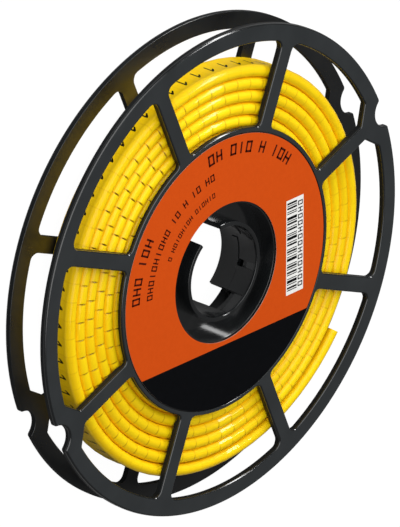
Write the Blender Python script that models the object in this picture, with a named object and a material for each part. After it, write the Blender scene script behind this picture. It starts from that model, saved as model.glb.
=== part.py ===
"""A reel of cable markers, lying on its back flange.

Two equal spoked mouldings, turned over against each other, hold a wound strip
of yellow markers. A printed disc lies in the front one.
The reel's axis is Z, its back face is at z = 0 and both notches lie on X.
"""

import math

import bmesh
import bpy
from mathutils import Matrix, Vector

# Sizes in metres. The spoked flanges
RIM_RADIUS = 0.0700
RING_WIDTH = 0.0050
FLANGE_THICKNESS = 0.0019
RIM_ROUNDING = 0.0007
RIM_EASE = 0.0002
SPOKE_COUNT = 8
SPOKE_WIDTH = 0.0047
SPOKE_RAMP = 0.0012
WINDOW_OUTER_FILLET = 0.0022
WINDOW_INNER_FILLET = 0.0016
WINDOW_EDGE_BREAK = 0.00035

# The disc in the middle of a flange and the seat of the label in it
DISC_RADIUS = 0.0411
DISC_THICKNESS = 0.0013
LABEL_SEAT_MARGIN = 0.0013
LABEL_THICKNESS = 0.0002
LABEL_HOLE_MARGIN = 0.0006
LABEL_PLAY = 0.0003

# The notches that two opposite spokes end in
NOTCH_DEPTH = 0.0035
NOTCH_WIDTH = 0.0092
NOTCH_CORNER = 0.0007
BRACE_REACH = 0.0056
BRACE_DROP = 0.0043
BRACE_FILLET = 0.0008

# The hub: a drum round a stepped well, with a collar for the spindle
DRUM_RADIUS = 0.0210
DRUM_WALL = 0.0014
WELL_FLOOR = 0.0012
WELL_TO_MIDDLE = 0.0010
COLLAR_BORE_RADIUS = 0.0131
COLLAR_WALL = 0.0012
COLLAR_SETBACK = 0.0008
COLLAR_BAND = 0.0010
KEYWAY_ANGLE = math.radians(33.0)
KEYWAY_BITE = 0.00015
SLIT_ANGLE = math.radians(9.0)
SLIT_FROM_NOTCH = math.radians(37.5)
BEAD_ANGLE = math.radians(42.0)
BEAD_HEIGHT = 0.00025
BEAD_WIDTH = 0.0018
TONGUE_HEIGHT = 0.0020
TONGUE_WALL = 0.0009
TONGUE_START = math.radians(20.0)
TONGUE_ANGLE = math.radians(50.0)

# The wound strip of markers
STRIP_WIDTH = 0.0103
STRIP_SIDE_PLAY = 0.00045
STRIP_PITCH = 0.00353
TURNS = 10
BURIED_TURNS = 4
TURN_EDGE = 0.00045
TURN_GROOVE = 0.00035
PRINT_PANEL_WIDTH = 0.0052
PRINT_PANEL_DROP = 0.0003
FREE_END_ANGLE = math.radians(301.3)
FREE_END_LIFT = 0.0015
FREE_END_LIFT_SHARE = 0.3

CLEARANCE = 0.0003
CUTTER_OVERRUN = 0.0020
JOIN_OVERLAP = 0.0004

# How finely the round forms are divided
TURNED_STEPS = 48
WOUND_STEPS = 60
OUTER_ARC_STEPS = 8
INNER_ARC_STEPS = 6
FILLET_STEPS = 3
BITE_STEPS = 8
SECTOR_STEP = math.radians(7.5)

REEL_WIDTH = STRIP_WIDTH + 2 * (STRIP_SIDE_PLAY + FLANGE_THICKNESS)
MIDDLE = REEL_WIDTH / 2
RING_INNER_RADIUS = RIM_RADIUS - RING_WIDTH
LABEL_SEAT_RADIUS = DISC_RADIUS - LABEL_SEAT_MARGIN
LABEL_SEAT_DEPTH = LABEL_THICKNESS + CLEARANCE
WELL_RADIUS = DRUM_RADIUS - DRUM_WALL
WELL_DEPTH = MIDDLE - WELL_TO_MIDDLE - WELL_FLOOR
COLLAR_RADIUS = COLLAR_BORE_RADIUS + COLLAR_WALL
JOINT_HEIGHT = MIDDLE - CLEARANCE / 2
TONGUE_TIP = MIDDLE + TONGUE_HEIGHT - CLEARANCE / 2
TONGUE_INNER_RADIUS = DRUM_RADIUS - TONGUE_WALL


def clear_scene():
    for old in list(bpy.data.objects):
        bpy.data.objects.remove(old, do_unlink=True)


def plastic(name, colour, roughness, metallic=0.0):
    material = bpy.data.materials.new(name)
    material.use_nodes = True
    shader = material.node_tree.nodes["Principled BSDF"]
    shader.inputs["Base Color"].default_value = (*colour, 1.0)
    shader.inputs["Roughness"].default_value = roughness
    shader.inputs["Metallic"].default_value = metallic
    return material


def add_object(name, bm, material=None):
    """Turns a finished bmesh into an object with faces pointing out."""
    bmesh.ops.recalc_face_normals(bm, faces=bm.faces)
    mesh = bpy.data.meshes.new(name)
    bm.to_mesh(mesh)
    bm.free()
    if material:
        mesh.materials.append(material)
        mesh.shade_smooth()
        mesh.set_sharp_from_angle(angle=math.radians(30.0))
    made = bpy.data.objects.new(name, mesh)
    bpy.context.scene.collection.objects.link(made)
    return made


def hide_cutter(cutter):
    cutter.hide_render = True
    cutter.display_type = "WIRE"


def add_boolean(body, other, operation):
    """Cuts or joins another object to a body and hides the other one."""
    boolean = body.modifiers.new(other.name, "BOOLEAN")
    boolean.operation = operation
    boolean.solver = "EXACT"
    boolean.object = other
    hide_cutter(other)


def polar(radius, angle):
    return Vector((radius * math.cos(angle), radius * math.sin(angle)))


def arc(radius, start, end, steps):
    return [polar(radius, start + (end - start) * i / steps) for i in range(steps + 1)]


def rounded_corner(before, corner, after, radius, steps=FILLET_STEPS):
    """Points of the arc that rounds the corner between two straight runs."""
    towards = (before - corner).normalized()
    onwards = (after - corner).normalized()
    half = towards.angle(onwards) / 2
    reach = radius / math.tan(half)
    centre = corner + (towards + onwards).normalized() * (radius / math.sin(half))
    start = corner + towards * reach - centre
    turn = start.angle_signed(corner + onwards * reach - centre)
    return [centre + Matrix.Rotation(-turn * i / steps, 2) @ start for i in range(steps + 1)]


def rounded_outline(corners):
    """Outline through (point, fillet radius) pairs; a radius of 0 stays sharp."""
    outline = []
    for i, (point, radius) in enumerate(corners):
        if radius:
            before = corners[i - 1][0]
            after = corners[(i + 1) % len(corners)][0]
            outline += rounded_corner(before, point, after, radius)
        else:
            outline.append(point)
    return outline


def add_prism(bm, outlines):
    """Adds a body through (height, outline) pairs that have as many points each."""
    rings = [[bm.verts.new((*point, height)) for point in outline] for height, outline in outlines]
    bm.faces.new(rings[0])
    bm.faces.new(rings[-1])
    count = len(rings[0])
    for low, high in zip(rings, rings[1:]):
        for i in range(count):
            j = (i + 1) % count
            bm.faces.new((low[i], low[j], high[j], high[i]))


def sector_outline(inner, outer, start, end):
    steps = max(1, round((end - start) / SECTOR_STEP))
    return arc(outer, start, end, steps) + arc(inner, end, start, steps)


def turned_body(name, profile, steps, material):
    """Revolves a closed profile of (radius, height) points round Z."""
    bm = bmesh.new()
    corners = [bm.verts.new((radius, 0.0, height)) for radius, height in profile]
    edges = [bm.edges.new((corners[i - 1], corners[i])) for i in range(len(corners))]
    bmesh.ops.spin(
        bm, geom=corners + edges, cent=(0, 0, 0), axis=(0, 0, 1), dvec=(0, 0, 0),
        angle=math.tau, steps=steps, use_merge=True, use_normal_flip=False, use_duplicate=False,
    )
    return add_object(name, bm, material)


def half_profile():
    """Section of one moulding, with its outer face at height 0."""
    rounding = [
        (
            RIM_RADIUS - RIM_ROUNDING + RIM_ROUNDING * math.sin(math.radians(turn)),
            RIM_ROUNDING - RIM_ROUNDING * math.cos(math.radians(turn)),
        )
        for turn in (0, 45, 90)
    ]
    collar = [(COLLAR_BORE_RADIUS, COLLAR_SETBACK), (COLLAR_RADIUS, COLLAR_SETBACK)]
    well = [(COLLAR_RADIUS, WELL_DEPTH), (WELL_RADIUS, WELL_DEPTH), (WELL_RADIUS, LABEL_SEAT_DEPTH)]
    seat = [(LABEL_SEAT_RADIUS, LABEL_SEAT_DEPTH), (LABEL_SEAT_RADIUS, 0.0)]
    inner_side = [
        (RIM_RADIUS, FLANGE_THICKNESS - RIM_EASE),
        (RIM_RADIUS - RIM_EASE, FLANGE_THICKNESS),
        (DISC_RADIUS + 2 * SPOKE_RAMP, FLANGE_THICKNESS),
        (DISC_RADIUS + SPOKE_RAMP, DISC_THICKNESS),
        (DRUM_RADIUS, DISC_THICKNESS),
    ]
    drum = [
        (DRUM_RADIUS, TONGUE_TIP),
        (TONGUE_INNER_RADIUS, TONGUE_TIP),
        (TONGUE_INNER_RADIUS, JOINT_HEIGHT - CLEARANCE / 2),
        (WELL_RADIUS, JOINT_HEIGHT - CLEARANCE / 2),
    ]
    floor = [
        (WELL_RADIUS, WELL_DEPTH + WELL_FLOOR),
        (COLLAR_RADIUS, WELL_DEPTH + WELL_FLOOR),
        (COLLAR_RADIUS, JOINT_HEIGHT),
        (COLLAR_BORE_RADIUS, JOINT_HEIGHT),
    ]
    return collar + well + seat + rounding + inner_side + drum + floor


def window_corner(spoke_angle, side, radius, half_width, fillet):
    """Corner of a window where a spoke's flank meets a circle."""
    return (polar(radius, spoke_angle + side * math.asin(half_width / radius)), fillet)


def window_outer_corners(spoke, side, radius, half_width, widen):
    """Outer corners on one flank: one fillet, or the brace beside a notch."""
    angle = spoke * math.tau / SPOKE_COUNT
    if spoke % (SPOKE_COUNT // 2):
        return [window_corner(angle, side, radius, half_width, WINDOW_OUTER_FILLET + widen)]
    brace_foot = window_corner(angle, side, radius - BRACE_DROP, half_width, BRACE_FILLET)
    brace_head = window_corner(angle, side, radius, half_width + BRACE_REACH, BRACE_FILLET)
    return [brace_foot, brace_head] if side > 0 else [brace_head, brace_foot]


def window_outline(index, widen):
    """Outline of the window after the spoke of this index, widened all round."""
    inner = DISC_RADIUS - widen
    outer = RING_INNER_RADIUS + widen
    half_width = SPOKE_WIDTH / 2 - widen
    start = index * math.tau / SPOKE_COUNT
    end = start + math.tau / SPOKE_COUNT
    first = window_outer_corners(index, 1, outer, half_width, widen)
    last = window_outer_corners(index + 1, -1, outer, half_width, widen)
    outer_start, outer_end = (math.atan2(*point[0].yx) % math.tau for point in (first[-1], last[0]))
    outer_end += math.tau if outer_end < outer_start else 0.0
    inner_fillet = WINDOW_INNER_FILLET + widen
    inner_last = window_corner(end, -1, inner, half_width, inner_fillet)
    inner_first = window_corner(start, 1, inner, half_width, inner_fillet)
    reach = math.asin(half_width / inner)
    outer_arc = arc(outer, outer_start, outer_end, OUTER_ARC_STEPS)[1:-1]
    inner_arc = arc(inner, end - reach, start + reach, INNER_ARC_STEPS)[1:-1]
    corners = first + [(point, 0.0) for point in outer_arc] + last
    corners += [inner_last] + [(point, 0.0) for point in inner_arc] + [inner_first]
    return rounded_outline(corners)


def window_cutter(name):
    """All windows between the spokes, with their outer edges broken."""
    bm = bmesh.new()
    for index in range(SPOKE_COUNT):
        plain = window_outline(index, 0.0)
        wide = window_outline(index, WINDOW_EDGE_BREAK)
        add_prism(
            bm,
            [
                (-CUTTER_OVERRUN, wide),
                (0.0, wide),
                (WINDOW_EDGE_BREAK, plain),
                (FLANGE_THICKNESS + CUTTER_OVERRUN, plain),
            ],
        )
    return add_object(name, bm)


def notch_outline():
    """A round bite out of the rim at angle 0, its corners eased."""
    half = NOTCH_WIDTH / 2
    bite = (half**2 + NOTCH_DEPTH**2) / (2 * NOTCH_DEPTH)
    centre = RIM_RADIUS - NOTCH_DEPTH + bite
    sweep = math.asin(half / bite)
    outside = RIM_RADIUS + CUTTER_OVERRUN
    ease = half + 2 * NOTCH_CORNER
    bowl = [
        Vector((centre - bite * math.cos(turn), -bite * math.sin(turn)))
        for turn in (sweep - 2 * sweep * i / BITE_STEPS for i in range(BITE_STEPS + 1))
    ]
    rim_low = Vector((math.sqrt(RIM_RADIUS**2 - ease**2), -ease))
    rim_high = Vector((rim_low.x, ease))
    low, high = Vector((outside, -ease)), Vector((outside, ease))
    return [low, rim_low] + [point for point in bowl] + [rim_high, high]


def notch_cutter(name):
    bm = bmesh.new()
    for turn in (0.0, math.pi):
        outline = [Matrix.Rotation(turn, 2) @ point for point in notch_outline()]
        add_prism(bm, [(-CUTTER_OVERRUN, outline), (FLANGE_THICKNESS + CUTTER_OVERRUN, outline)])
    return add_object(name, bm)


def hub_cutter(name):
    """The open keyway, the keyway behind the collar's band and its slits."""
    bm = bmesh.new()
    inside = COLLAR_BORE_RADIUS - CUTTER_OVERRUN
    outside = COLLAR_RADIUS + COLLAR_WALL / 2
    top = JOINT_HEIGHT + CUTTER_OVERRUN
    half = KEYWAY_ANGLE / 2
    open_side, closed_side = -math.pi / 2, math.pi / 2
    keyway = sector_outline(inside, WELL_RADIUS + KEYWAY_BITE, open_side - half, open_side + half)
    add_prism(bm, [(-CUTTER_OVERRUN, keyway), (top, keyway)])
    band = COLLAR_SETBACK + COLLAR_BAND
    slots = [(closed_side, half)]
    slots += [(angle, SLIT_ANGLE / 2) for angle in (SLIT_FROM_NOTCH, math.pi - SLIT_FROM_NOTCH)]
    for angle, reach in slots:
        slot = sector_outline(inside, outside, angle - reach, angle + reach)
        add_prism(bm, [(band, slot), (top, slot)])
    return add_object(name, bm)


def joint_cutters(name):
    """Cutters that leave two tongues on the drum and sockets for the other pair."""
    cut_away, sockets = bmesh.new(), bmesh.new()
    inside = TONGUE_INNER_RADIUS - CLEARANCE
    outside = DRUM_RADIUS + CUTTER_OVERRUN
    top = TONGUE_TIP + CUTTER_OVERRUN
    play = CLEARANCE / DRUM_RADIUS
    tongue_end = TONGUE_START + TONGUE_ANGLE
    for turn in (0.0, math.pi):
        between = sector_outline(inside, outside, turn + tongue_end, turn + math.pi + TONGUE_START)
        add_prism(cut_away, [(JOINT_HEIGHT, between), (top, between)])
        start, end = math.pi - tongue_end - play, math.pi - TONGUE_START + play
        socket = sector_outline(inside, outside, turn + start, turn + end)
        add_prism(sockets, [(JOINT_HEIGHT - TONGUE_HEIGHT, socket), (top, socket)])
    return add_object(name + "_ends", cut_away), add_object(name + "_sockets", sockets)


def collar_beads(name):
    """Low beads inside the collar, next to where the halves meet."""
    bm = bmesh.new()
    top = JOINT_HEIGHT - CLEARANCE / 2
    inner = COLLAR_BORE_RADIUS - BEAD_HEIGHT
    outer = COLLAR_BORE_RADIUS + JOIN_OVERLAP
    start = -SLIT_ANGLE / 2
    for angle in (start, math.pi - start + BEAD_ANGLE):
        outline = sector_outline(inner, outer, angle - BEAD_ANGLE, angle)
        add_prism(bm, [(top - BEAD_WIDTH, outline), (top, outline)])
    return add_object(name, bm)


def reel_half(name, material):
    """One spoked moulding: rim, spokes, disc, drum, well and collar."""
    half = turned_body(name, half_profile(), TURNED_STEPS, material)
    add_boolean(half, window_cutter(name + "_windows"), "DIFFERENCE")
    add_boolean(half, notch_cutter(name + "_notches"), "DIFFERENCE")
    for cutter in joint_cutters(name + "_tongue"):
        add_boolean(half, cutter, "DIFFERENCE")
    add_boolean(half, collar_beads(name + "_beads"), "UNION")
    add_boolean(half, hub_cutter(name + "_hub_cuts"), "DIFFERENCE")
    return half


def turn_over(half):
    """Lays the front half over the back one, its outer face up."""
    for piece in [half] + [modifier.object for modifier in half.modifiers]:
        piece.matrix_world = Matrix.Translation((0, 0, REEL_WIDTH)) @ Matrix.Rotation(math.pi, 4, "X")


def label_disc(name, material):
    """The printed disc in the seat of the front moulding."""
    low = REEL_WIDTH - LABEL_THICKNESS
    inner = WELL_RADIUS + LABEL_HOLE_MARGIN
    outer = LABEL_SEAT_RADIUS - LABEL_PLAY
    profile = [(inner, low), (outer, low), (outer, REEL_WIDTH), (inner, REEL_WIDTH)]
    return turned_body(name, profile, TURNED_STEPS, material)


def strip_section():
    """Section of the winding at its free end: (radius, height, lifts) points.

    Each turn stands up between two grooves, apart from those under the disc,
    and the panel that the figures are printed on lies between the strip's rolls.
    """
    half = STRIP_WIDTH / 2
    edge = half - TURN_GROOVE
    start = DRUM_RADIUS + CLEARANCE + STRIP_PITCH
    outer = start + TURNS * STRIP_PITCH
    front = [(start, edge, 0)]
    for turn in range(TURNS):
        inner = start + turn * STRIP_PITCH
        lifts = turn == TURNS - 1
        if turn >= BURIED_TURNS:
            front.append((inner + TURN_EDGE, half, 0))
            front.append((inner + STRIP_PITCH - TURN_EDGE, half, lifts))
        front.append((inner + STRIP_PITCH, edge, lifts))
    panel = PRINT_PANEL_WIDTH / 2
    front.append((outer, panel + PRINT_PANEL_DROP, 1))
    front.append((outer - PRINT_PANEL_DROP, panel, 1))
    back = [(radius, -height, lifts) for radius, height, lifts in reversed(front)]
    return front + back


def marker_strip(name, material):
    """The wound strip: each turn runs in one pitch, clockwise from the free end."""
    bm = bmesh.new()
    section = strip_section()
    rings = []
    for step in range(WOUND_STEPS + 1):
        share = step / WOUND_STEPS
        angle = FREE_END_ANGLE - math.tau * share
        lift = FREE_END_LIFT * max(0.0, 1.0 - share / FREE_END_LIFT_SHARE) ** 2
        ring = []
        for radius, height, lifts in section:
            point = polar(radius - STRIP_PITCH * share + lift * lifts, angle)
            ring.append(bm.verts.new((*point, MIDDLE + height)))
        rings.append(ring)
    for near, far in zip(rings, rings[1:]):
        for i in range(len(section)):
            bm.faces.new((near[i - 1], near[i], far[i], far[i - 1]))
    bmesh.ops.remove_doubles(bm, verts=bm.verts, dist=1e-6)
    open_edges = [edge for edge in bm.edges if edge.is_boundary]
    bmesh.ops.holes_fill(bm, edges=open_edges, sides=0)
    return add_object(name, bm, material)


def build():
    clear_scene()
    charcoal = plastic("charcoal_polystyrene", (0.036, 0.040, 0.043), 0.42)
    orange = plastic("orange_print", (0.672, 0.087, 0.008), 0.45)
    yellow = plastic("yellow_pvc", (0.930, 0.620, 0.010), 0.50)
    reel_half("back_half", charcoal)
    turn_over(reel_half("front_half", charcoal))
    marker_strip("marker_strip", yellow)
    label_disc("label", orange)


build()
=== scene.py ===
"""The looks of a reel of cable markers.

Two spoked black mouldings hold a wound strip of yellow markers, and a printed
label lies in the front one. The reel lies on its back flange, with its axis on
Z. Every size is in metres.
"""

import logging
import math
import random
from dataclasses import dataclass
from enum import Enum

import bmesh
import bpy
from bmesh.types import BMEdge, BMesh, BMFace, BMVert
from mathutils import Matrix, Vector


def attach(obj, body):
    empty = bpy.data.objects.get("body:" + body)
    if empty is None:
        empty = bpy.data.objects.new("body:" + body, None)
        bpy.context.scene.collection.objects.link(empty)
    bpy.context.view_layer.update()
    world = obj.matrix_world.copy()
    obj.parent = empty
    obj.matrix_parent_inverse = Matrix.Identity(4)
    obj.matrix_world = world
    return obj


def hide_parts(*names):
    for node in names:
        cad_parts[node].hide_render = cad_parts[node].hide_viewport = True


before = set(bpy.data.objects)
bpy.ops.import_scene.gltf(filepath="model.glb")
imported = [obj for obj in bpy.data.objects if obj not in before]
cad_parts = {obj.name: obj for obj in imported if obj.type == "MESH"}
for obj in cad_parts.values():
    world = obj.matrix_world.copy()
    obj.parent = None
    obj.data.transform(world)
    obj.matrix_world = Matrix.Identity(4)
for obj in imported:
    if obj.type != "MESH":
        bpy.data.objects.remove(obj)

log = logging.getLogger("marker_reel")

MM = 0.001
WELD = 0.002 * MM
REACH = 0.1 * MM
ROUND_STEPS = 240
FULL_TURN = 360.0
REEL_WIDTH = 15.0 * MM
MIDDLE = REEL_WIDTH / 2
AXIS = Vector((0.0, 0.0))


def linear(code: str) -> tuple[float, float, float, float]:
    """Turns an sRGB hex value into a linear colour.

    Args:
        code: The colour as six hex digits after a hash sign.

    Returns:
        Red, green, blue and a full alpha.
    """
    shares = (int(code[i : i + 2], 16) / 255 for i in (1, 3, 5))
    red, green, blue = (s / 12.92 if s <= 0.04045 else ((s + 0.055) / 1.055) ** 2.4 for s in shares)
    return red, green, blue, 1.0


def add_node(
    tree: bpy.types.NodeTree, kind: str, inputs: dict | None = None, **settings: object
) -> bpy.types.Node:
    """Adds a node with its settings and links.

    Args:
        tree: Node tree that takes the node.
        kind: Type of the node, without the words that all types begin with.
        inputs: A value or an output socket for each named or numbered input.
        **settings: Values of the node's own properties.

    Returns:
        The new node.
    """
    node = tree.nodes.new("ShaderNode" + kind)
    for name, value in settings.items():
        setattr(node, name, value)
    for name, value in (inputs or {}).items():
        if isinstance(value, bpy.types.NodeSocket):
            tree.links.new(value, node.inputs[name])
        else:
            node.inputs[name].default_value = value
    return node


def set_stops(ramp: bpy.types.Node, stops: list[tuple[float, str]]) -> None:
    """Gives a colour ramp its stops.

    Args:
        ramp: The colour ramp node.
        stops: Place and hex colour of each stop, from low to high.
    """
    elements = ramp.color_ramp.elements
    while len(elements) < len(stops):
        elements.new(0.5)
    for element, (place, code) in zip(elements, stops):
        element.position = place
        element.color = linear(code)


def new_surface(name: str, shader_inputs: dict) -> tuple[bpy.types.Material, bpy.types.Node]:
    """Starts a material on one principled shader.

    Args:
        name: Name of the material.
        shader_inputs: Values that are the same all over the surface.

    Returns:
        The material and its shader.
    """
    material = bpy.data.materials.new(name)
    material.use_nodes = True
    shader = material.node_tree.nodes["Principled BSDF"]
    for key, value in shader_inputs.items():
        shader.inputs[key].default_value = value
    return material, shader


def add_relief(
    tree: bpy.types.NodeTree,
    shader: bpy.types.Node,
    size: float,
    detail: float,
    strength: float,
    depth: float,
) -> bpy.types.NodeSocket:
    """Gives a surface a fine relief of noise.

    Args:
        tree: Node tree of the material.
        shader: The shader whose normal it tilts.
        size: Size of its bumps.
        detail: Number of finer layers in it.
        strength: How much of it shows.
        depth: Depth of its bumps.

    Returns:
        The noise that it follows.
    """
    place = add_node(tree, "TexCoord").outputs["Object"]
    noise = add_node(tree, "TexNoise", {"Vector": place, "Scale": 1 / size, "Detail": detail})
    height = noise.outputs["Fac"]
    bump = add_node(tree, "Bump", {"Height": height, "Strength": strength, "Distance": depth})
    tree.links.new(bump.outputs["Normal"], shader.inputs["Normal"])
    return height


@dataclass(frozen=True)
class MouldedPolystyrene:
    """Black polystyrene, injection moulded in a finely eroded steel mould.

    It gives an even charcoal with a satin gloss, faint flow clouds and a grain
    that breaks up the edge of a highlight.
    """

    name: str = "satin_moulded_polystyrene"
    dark: str = "#202426"
    light: str = "#272B2D"
    roughness: float = 0.19
    smoother: float = 0.04
    rougher: float = 0.05
    gloss: float = 1.0
    skin: float = 0.6
    skin_roughness: float = 0.10
    ior: float = 1.65
    cloud_size: float = 9.0 * MM
    cloud_stops: tuple[float, float] = (0.30, 0.75)
    cloud_range: tuple[float, float] = (0.3, 0.7)
    grain_size: float = 0.35 * MM
    grain_depth: float = 0.05 * MM
    grain_strength: float = 0.08

    def material(self) -> bpy.types.Material:
        """Makes the material.

        Returns:
            The plastic in this finish.
        """
        even = {
            "IOR": self.ior,
            "Specular IOR Level": self.gloss,
            "Coat Weight": self.skin,
            "Coat Roughness": self.skin_roughness,
        }
        made, shader = new_surface(self.name, even)
        tree = made.node_tree
        place = add_node(tree, "TexCoord").outputs["Object"]
        clouds = add_node(
            tree, "TexNoise", {"Vector": place, "Scale": 1 / self.cloud_size, "Detail": 3.0}
        )
        tint = add_node(tree, "ValToRGB", {"Fac": clouds.outputs["Fac"]})
        set_stops(tint, list(zip(self.cloud_stops, (self.dark, self.light))))
        tree.links.new(tint.outputs["Color"], shader.inputs["Base Color"])
        low, high = self.cloud_range
        gloss = add_node(
            tree,
            "MapRange",
            {
                "Value": clouds.outputs["Fac"],
                "From Min": low,
                "From Max": high,
                "To Min": self.roughness - self.smoother,
                "To Max": self.roughness + self.rougher,
            },
        )
        tree.links.new(gloss.outputs["Result"], shader.inputs["Roughness"])
        # The real grain is about 0.05 mm, so it is drawn coarser to show
        add_relief(tree, shader, self.grain_size, 2.0, self.grain_strength, self.grain_depth)
        return made


@dataclass(frozen=True)
class PolishedPolystyrenePaintedShade(MouldedPolystyrene):
    """The same plastic where the mould was polished, on a darker base that is painted shade: the
    hub.

    It looks near black, with crisp streaks of light.
    """

    name: str = "polished_hub_painted_shade"
    # Painted shade: darker than the outer faces, for the shade in the hub's well
    dark: str = "#131415"
    light: str = "#191B1C"
    roughness: float = 0.14
    gloss: float = 0.6
    grain_strength: float = 0.03


@dataclass(frozen=True)
class MattPolystyrenePaintedShade(MouldedPolystyrene):
    """The same plastic on its narrow walls, where the mould was left matt, on a darker base that is
    painted shade.

    They look black, and don't mirror the winding or the floor.
    """

    name: str = "matt_wall_painted_shade"
    # Painted shade: darker than the outer faces, for sideways walls that get little light
    dark: str = "#121314"
    light: str = "#181A1B"
    roughness: float = 0.45
    gloss: float = 0.12
    skin: float = 0.0
    grain_strength: float = 0.2


@dataclass(frozen=True)
class BurnishedPolystyrenePaintedShade(MouldedPolystyrene):
    """The same plastic along its rounded edges, burnished by handling.

    Its darker base is painted shade, a darker border round each flat face; its gloss gives a crisp
    line of light.
    """

    name: str = "burnished_edge_painted_shade"
    # Painted shade: darker than the outer faces, for the dark border along the rounded edges
    dark: str = "#141617"
    light: str = "#1A1C1D"
    roughness: float = 0.16
    gloss: float = 0.45
    skin: float = 0.5
    skin_roughness: float = 0.08
    grain_strength: float = 0.02


@dataclass(frozen=True)
class GroundPolystyrenePaintedShade(MouldedPolystyrene):
    """The same plastic on the inner sides, where the mould was ground.

    It looks near black, from a darker base that paints the shade between the
    flanges, with a blurred brown mirror image of the winding.
    """

    name: str = "ground_inner_painted_shade"
    # Painted shade: darker than the outer faces, for the shade between the flanges
    dark: str = "#131415"
    light: str = "#191B1C"
    gloss: float = 0.5
    roughness: float = 0.30
    skin: float = 0.3
    skin_roughness: float = 0.25
    grain_strength: float = 0.03


class Surface(Enum):
    """The moulding's surfaces, each with its finish; all but OUTER paint shade with a darker base.
    """

    OUTER = MouldedPolystyrene()
    HUB = PolishedPolystyrenePaintedShade()
    WALL = MattPolystyrenePaintedShade()
    EDGE = BurnishedPolystyrenePaintedShade()
    INNER = GroundPolystyrenePaintedShade()


@dataclass(frozen=True)
class SoftVinyl:
    """Yellow plasticised PVC, extruded as one profile and cut into markers.

    It gives a warm, saturated yellow with a painted orange shade where turns
    meet, a soft sheen with small crisp glares, a slightly different tone from
    marker to marker and dark cuts.
    """

    shade: str = "#FBD20C"
    tone: str = "#FFDA0E"
    # Painted shade: the orange where turns meet stands for shade and bounce light between them
    groove_shade: str = "#FAC608"
    joint: str = "#C8800A"
    slit: str = "#3E2204"
    roughness: float = 0.45
    gloss: float = 0.08
    skin: float = 0.42
    skin_roughness: float = 0.08
    ior: float = 1.53
    ripple_size: float = 1.6 * MM
    ripple_depth: float = 0.15 * MM
    ripple_strength: float = 0.15

    def material(self) -> bpy.types.Material:
        """Makes the material.

        Returns:
            Yellow vinyl that reads the strip's own attributes.
        """
        even = {
            "IOR": self.ior,
            "Roughness": self.roughness,
            "Specular IOR Level": self.gloss,
            "Coat Weight": self.skin,
            "Coat Roughness": self.skin_roughness,
        }
        made, shader = new_surface("soft_vinyl", even)
        tree = made.node_tree
        tone = add_node(tree, "Attribute", attribute_name="tone").outputs["Fac"]
        colour = add_node(tree, "ValToRGB", {"Fac": tone})
        set_stops(colour, [(0.0, self.shade), (1.0, self.tone)])
        last = colour.outputs["Color"]
        # The groove layer mixes in painted shade; joint and slit give the cuts their dark colour
        for name, code in (("groove_shade", self.groove_shade), ("joint", self.joint), ("slit", self.slit)):
            share = add_node(tree, "Attribute", attribute_name=name).outputs["Fac"]
            inputs = {"Factor": share, 6: last, 7: linear(code)}
            last = add_node(tree, "Mix", inputs, data_type="RGBA").outputs[2]
        tree.links.new(last, shader.inputs["Base Color"])
        add_relief(tree, shader, self.ripple_size, 2.0, self.ripple_strength, self.ripple_depth)
        return made


class Ink(Enum):
    """The colours that the label and the markers are printed in."""

    ORANGE = ("orange_ink", "#D04E10", "#CD4C0F", 0.42)
    BLACK = ("black_ink", "#07080B", "#050608", 0.38)
    BROWN = ("brown_ink", "#4C150B", "#431108", 0.42)
    WHITE = ("white_coating", "#F2F2EE", "#EAEAE6", 0.45)
    PAPER = ("bare_cut_paper", "#A8978C", "#9A897E", 0.70)
    MARKING = ("marking_ink", "#15120A", "#1C180C", 0.50)


@dataclass(frozen=True)
class PrintedCoating:
    """Coated label paper, offset printed and varnished.

    It gives a flat, even colour with the finest mottle and a soft sheen.
    """

    ink: Ink
    ior: float = 1.5
    gloss: float = 0.12
    mottle_size: float = 1.2 * MM
    mottle_depth: float = 0.02 * MM
    mottle_strength: float = 0.08
    mottle_stops: tuple[float, float] = (0.35, 0.65)

    def material(self) -> bpy.types.Material:
        """Makes the material.

        Returns:
            One printed colour.
        """
        name, colour, darker, roughness = self.ink.value
        even = {"Roughness": roughness, "IOR": self.ior, "Specular IOR Level": self.gloss}
        made, shader = new_surface(name, even)
        tree = made.node_tree
        mottle = add_relief(
            tree, shader, self.mottle_size, 4.0, self.mottle_strength, self.mottle_depth
        )
        tint = add_node(tree, "ValToRGB", {"Fac": mottle})
        set_stops(tint, list(zip(self.mottle_stops, (darker, colour))))
        tree.links.new(tint.outputs["Color"], shader.inputs["Base Color"])
        return made


def polar(radius: float, degrees: float) -> Vector:
    """Returns the point at a radius and an angle in the XY plane."""
    turn = math.radians(degrees)
    return Vector((radius * math.cos(turn), radius * math.sin(turn)))


def radius_of(place: Vector) -> float:
    """Returns the distance of a point from the reel's axis."""
    return place.xy.length


def beside(radius: float, aside: float) -> Vector:
    """Returns the point at a radius that lies at a distance from the X axis."""
    return Vector((math.sqrt(radius**2 - aside**2), aside))


def angle_of(place: Vector) -> float:
    """Returns the angle of a point round the reel's axis, in degrees."""
    return math.degrees(math.atan2(place.y, place.x))


def everything(bm: BMesh) -> list:
    """Returns all vertices, edges and faces of a mesh."""
    return [*bm.verts, *bm.edges, *bm.faces]


def mesh_of(name: str, bm: BMesh) -> bpy.types.Mesh:
    """Turns a bmesh into a mesh and frees it.

    Args:
        name: Name of the mesh.
        bm: The bmesh.

    Returns:
        The mesh.
    """
    mesh = bpy.data.meshes.new(name)
    bm.to_mesh(mesh)
    bm.free()
    return mesh


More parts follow.
